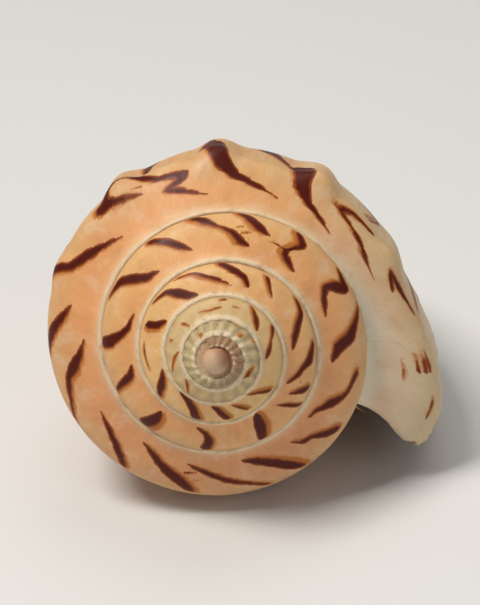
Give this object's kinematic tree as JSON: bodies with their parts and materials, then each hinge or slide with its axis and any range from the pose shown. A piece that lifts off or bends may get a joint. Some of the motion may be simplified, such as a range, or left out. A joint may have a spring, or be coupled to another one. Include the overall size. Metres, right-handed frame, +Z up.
{
  "type": "volute shell",
  "caption": "Hollow spiral sea shell with a low stepped spire, a broad shouldered body whorl and a long narrow aperture, resting on its lip.",
  "frame": {"origin": "centre of the bounding box in plan, on the surface the shell rests on", "axes": "+Z up; +Y runs the length of the shell from the apex towards the canal end; the outer lip is on the +X side"},
  "size_m": [0.0656, 0.107, 0.058],
  "materials": {
    "shell": "semi-gloss salmon and cream porcelain-like shell with maroon-brown flames"
  },
  "bodies": {
    "root": {"shell": "shell"}
  },
  "joints": []
}
